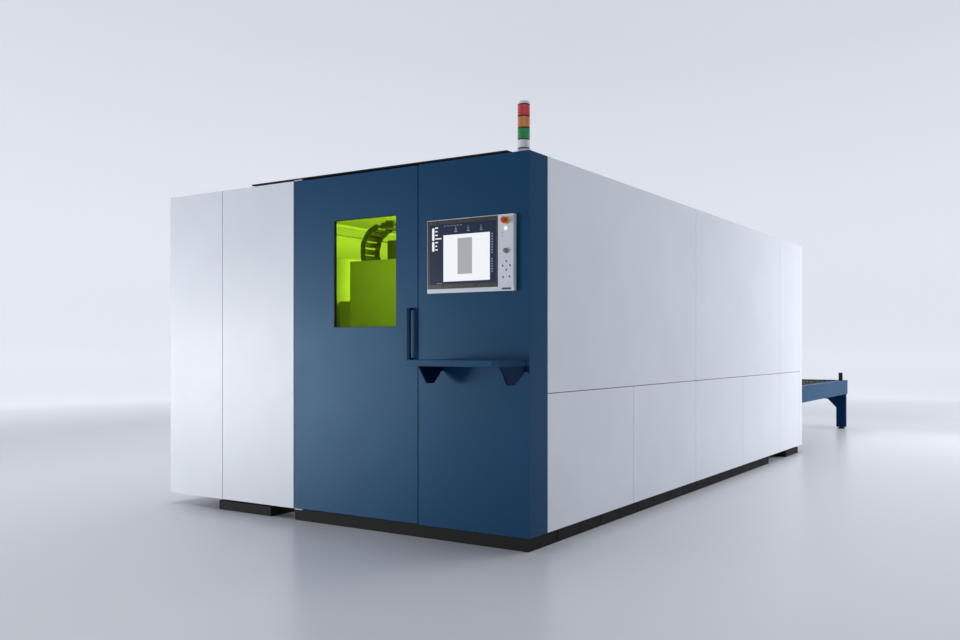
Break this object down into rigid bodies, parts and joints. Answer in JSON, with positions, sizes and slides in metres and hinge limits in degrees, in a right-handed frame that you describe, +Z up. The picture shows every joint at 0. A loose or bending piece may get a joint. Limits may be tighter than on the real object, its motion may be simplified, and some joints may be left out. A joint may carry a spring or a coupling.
{
  "type": "fiber laser cutting machine",
  "caption": "Housed fiber laser cutter with a windowed operator door, side control console, signal tower, moving gantry and a rear pallet table.",
  "frame": {"origin": "middle of the whole machine's box, on the floor", "axes": "+Z up, +Y from the operator's face to the pallet table, +X to the operator's right"},
  "size_m": [2.99, 9.464, 2.501],
  "materials": {
    "blue_paint": "smooth satin enamel, steel blue",
    "navy_paint": "satin enamel, dark navy",
    "white_paint": "fine satin powder coat, cool light grey",
    "charcoal_paint": "matte charcoal powder coat",
    "grey_paint": "fine textured light grey powder coat",
    "steel": "ground or mill steel",
    "aluminium": "satin anodised",
    "brass": "turned copper alloy",
    "safety_pane": "clear yellow-green laser safety sheet",
    "screen_glass": "lit touch screen behind glass",
    "black_plastic": "moulded black plastic",
    "red_plastic": "moulded red plastic",
    "yellow_plastic": "moulded yellow plastic",
    "white_plastic": "moulded light grey plastic",
    "lens_green": "ribbed translucent lens",
    "lens_amber": "ribbed translucent lens",
    "lens_red": "ribbed translucent lens"
  },
  "bodies": {
    "machine": {"bed_frame": "grey_paint", "console_housing": "aluminium", "console_keypad": "aluminium", "console_screen": "screen_glass", "control_cabinet": "grey_paint", "cooling_unit": "grey_paint", "door_hinges": "grey_paint", "end_stops": "charcoal_paint", "estop_collar": "yellow_plastic", "foot_pads": "charcoal_paint", "gate_guides": "grey_paint", "guide_rails": "steel", "housing_frame": "grey_paint", "laser_source": "grey_paint", "operator_panel": "blue_paint", "pallet_rails": "steel", "panel_front_inner": "white_paint", "panel_front_outer": "white_paint", "panels_left_lower": "white_paint", "panels_left_upper": "white_paint", "panels_right_lower": "white_paint", "panels_right_upper": "white_paint", "partition_wall": "grey_paint", "plinth": "charcoal_paint", "rear_wall": "white_paint", "roof_cover": "charcoal_paint", "roof_panels": "white_paint", "scrap_bins": "steel", "shelf": "blue_paint", "shelf_brackets": "navy_paint", "table_beams": "blue_paint", "table_feet": "charcoal_paint", "table_legs": "navy_paint", "tower_amber": "lens_amber", "tower_base": "white_plastic", "tower_cap": "white_plastic", "tower_green": "lens_green", "tower_red": "lens_red"},
    "door": {"operator_door": "blue_paint", "door_window": "safety_pane", "door_handle": "navy_paint"},
    "gantry": {"gantry_trucks": "grey_paint", "gantry_beam": "grey_paint", "gantry_rails": "steel", "gantry_hood": "grey_paint"},
    "carriage": {"head_carriage": "grey_paint"},
    "head": {"head_slide": "aluminium", "cutting_head": "aluminium", "nozzle": "brass"},
    "chain": {"energy_chain": "black_plastic"},
    "pallet": {"pallet_frame": "steel", "pallet_slats": "steel"},
    "gate": {"rear_gate": "grey_paint"},
    "estop": {"estop_button": "red_plastic"},
    "start": {"start_button": "white_plastic"},
    "knob": {"override_knob": "black_plastic"},
    "wheel_left_front_body": {"wheel_left_front": "steel"},
    "wheel_left_rear_body": {"wheel_left_rear": "steel"},
    "wheel_right_front_body": {"wheel_right_front": "steel"},
    "wheel_right_rear_body": {"wheel_right_rear": "steel"}
  },
  "joints": [
    {"name": "door_hinge", "type": "hinge", "parent": "machine", "child": "door", "pos_m": [-0.257, -4.371, 1.1], "axis": [0, 0, -1], "range_deg": [0, 105]},
    {"name": "gantry_travel", "type": "slide", "parent": "machine", "child": "gantry", "axis": [0, 1, 0], "range_m": [0, 4.3]},
    {"name": "carriage_travel", "type": "slide", "parent": "gantry", "child": "carriage", "axis": [1, 0, 0], "range_m": [-0.08, 1.42]},
    {"name": "head_travel", "type": "slide", "parent": "carriage", "child": "head", "axis": [0, 0, 1], "range_m": [-0.1, 0]},
    {"name": "chain_roll", "type": "slide", "parent": "carriage", "child": "chain", "axis": [1, 0, 0], "range_m": [-0.71, 0.04]},
    {"name": "pallet_travel", "type": "slide", "parent": "machine", "child": "pallet", "axis": [0, 1, 0], "range_m": [-3.24, 0]},
    {"name": "gate_lift", "type": "slide", "parent": "machine", "child": "gate", "axis": [0, 0, 1], "range_m": [-0.3, 0]},
    {"name": "estop_push", "type": "slide", "parent": "machine", "child": "estop", "axis": [0, 1, 0], "range_m": [0, 0.004]},
    {"name": "start_push", "type": "slide", "parent": "machine", "child": "start", "axis": [0, 1, 0], "range_m": [0, 0.003], "stiffness_N_per_m": 600, "springref_m": -0.002},
    {"name": "knob_turn", "type": "hinge", "parent": "machine", "child": "knob", "pos_m": [1.363, -4.412, 1.655], "axis": [0, -1, 0], "range_deg": [-140, 140]},
    {"name": "wheel_left_front_roll", "type": "hinge", "parent": "pallet", "child": "wheel_left_front_body", "pos_m": [-0.529, 1.712, 0.5703], "axis": [-1, 0, 0], "range_deg": [-5320, 0]},
    {"name": "wheel_left_rear_roll", "type": "hinge", "parent": "pallet", "child": "wheel_left_rear_body", "pos_m": [-0.529, 4.342, 0.5703], "axis": [-1, 0, 0], "range_deg": [-5320, 0]},
    {"name": "wheel_right_front_roll", "type": "hinge", "parent": "pallet", "child": "wheel_right_front_body", "pos_m": [1.189, 1.712, 0.5703], "axis": [-1, 0, 0], "range_deg": [-5320, 0]},
    {"name": "wheel_right_rear_roll", "type": "hinge", "parent": "pallet", "child": "wheel_right_rear_body", "pos_m": [1.189, 4.342, 0.5703], "axis": [-1, 0, 0], "range_deg": [-5320, 0]}
  ],
  "couplings": [
    {"joint": "chain_roll", "follows": "carriage_travel", "ratio": -0.5},
    {"joint": "wheel_left_front_roll", "follows": "pallet_travel", "rad_per_m": 28.571},
    {"joint": "wheel_left_rear_roll", "follows": "pallet_travel", "rad_per_m": 28.571},
    {"joint": "wheel_right_front_roll", "follows": "pallet_travel", "rad_per_m": 28.571},
    {"joint": "wheel_right_rear_roll", "follows": "pallet_travel", "rad_per_m": 28.571}
  ]
}
